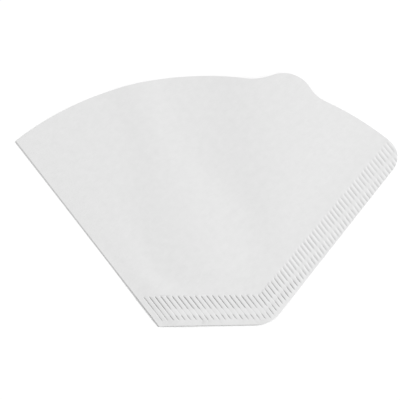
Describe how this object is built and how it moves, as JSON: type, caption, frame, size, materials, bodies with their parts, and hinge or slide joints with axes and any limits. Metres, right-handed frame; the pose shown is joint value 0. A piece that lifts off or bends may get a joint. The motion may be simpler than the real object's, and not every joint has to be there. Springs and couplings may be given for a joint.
{
  "type": "paper coffee filter",
  "caption": "Flat-folded, fan-shaped paper coffee filter with crimped bottom and side seams, an arched open rim and a rounded finger tab; it lines a brewing cone and holds the ground coffee.",
  "frame": {"origin": "middle of the folded filter's bounding box, on the plane that its lower ply lies on", "axes": "+X along the bottom seam from the fold towards the side seam, +Y up the paper towards the rim, +Z out of the paper, upwards as it lies"},
  "size_m": [0.1656, 0.113, 0.0021],
  "materials": {
    "filter_paper_white": "matte"
  },
  "bodies": {
    "root": {"filter_paper": "filter_paper_white"}
  },
  "joints": []
}
